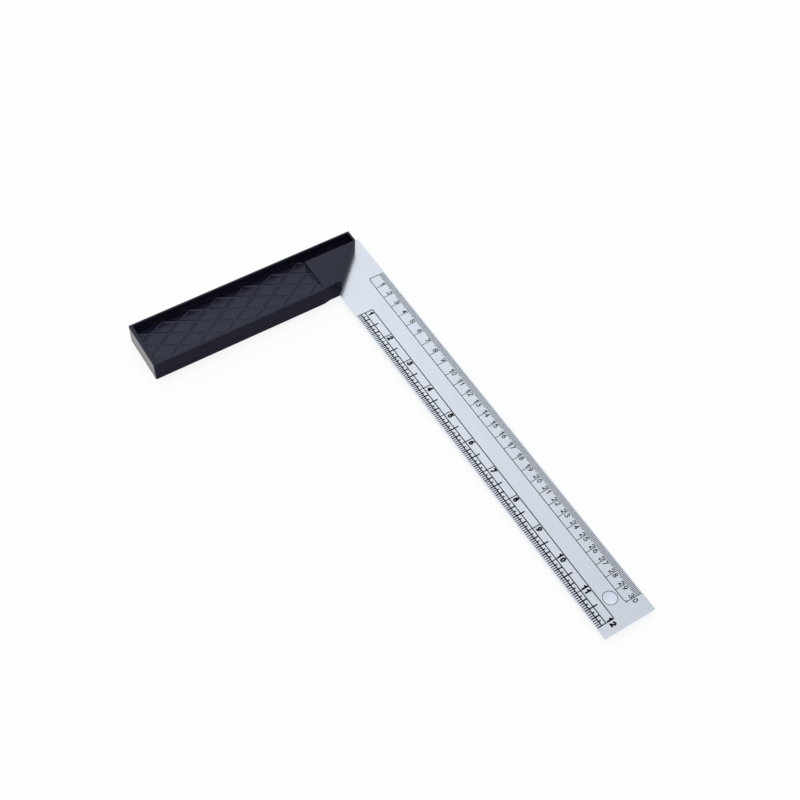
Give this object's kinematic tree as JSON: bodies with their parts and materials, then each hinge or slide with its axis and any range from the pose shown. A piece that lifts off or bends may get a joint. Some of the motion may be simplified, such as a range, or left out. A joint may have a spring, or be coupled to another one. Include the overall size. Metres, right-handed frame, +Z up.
{
  "type": "carpenter square",
  "caption": "Try and mitre square with a ruled steel blade clamped in a black moulded stock, a quilted grip tray, a mitred head and a hang hole.",
  "frame": {"origin": "inner corner of the square: working face of the stock, inner edge of the blade, middle of the blade's thickness", "axes": "+X along the blade to its tip, +Y along the stock towards its heel, +Z up out of the ruled face"},
  "size_m": [0.3529, 0.1821, 0.0154],
  "materials": {
    "blade_steel": "satin, brushed along its length, with printed scales",
    "stock_plastic": "fine moulded grain",
    "screw_steel": "zinc plated"
  },
  "bodies": {
    "root": {"blade": "blade_steel", "stock_body": "stock_plastic", "stock_base": "stock_plastic", "tang_screw_1": "screw_steel", "tang_screw_2": "screw_steel", "tang_screw_3": "screw_steel", "grip_screw_1": "screw_steel", "grip_screw_2": "screw_steel", "grip_screw_3": "screw_steel"}
  },
  "joints": []
}
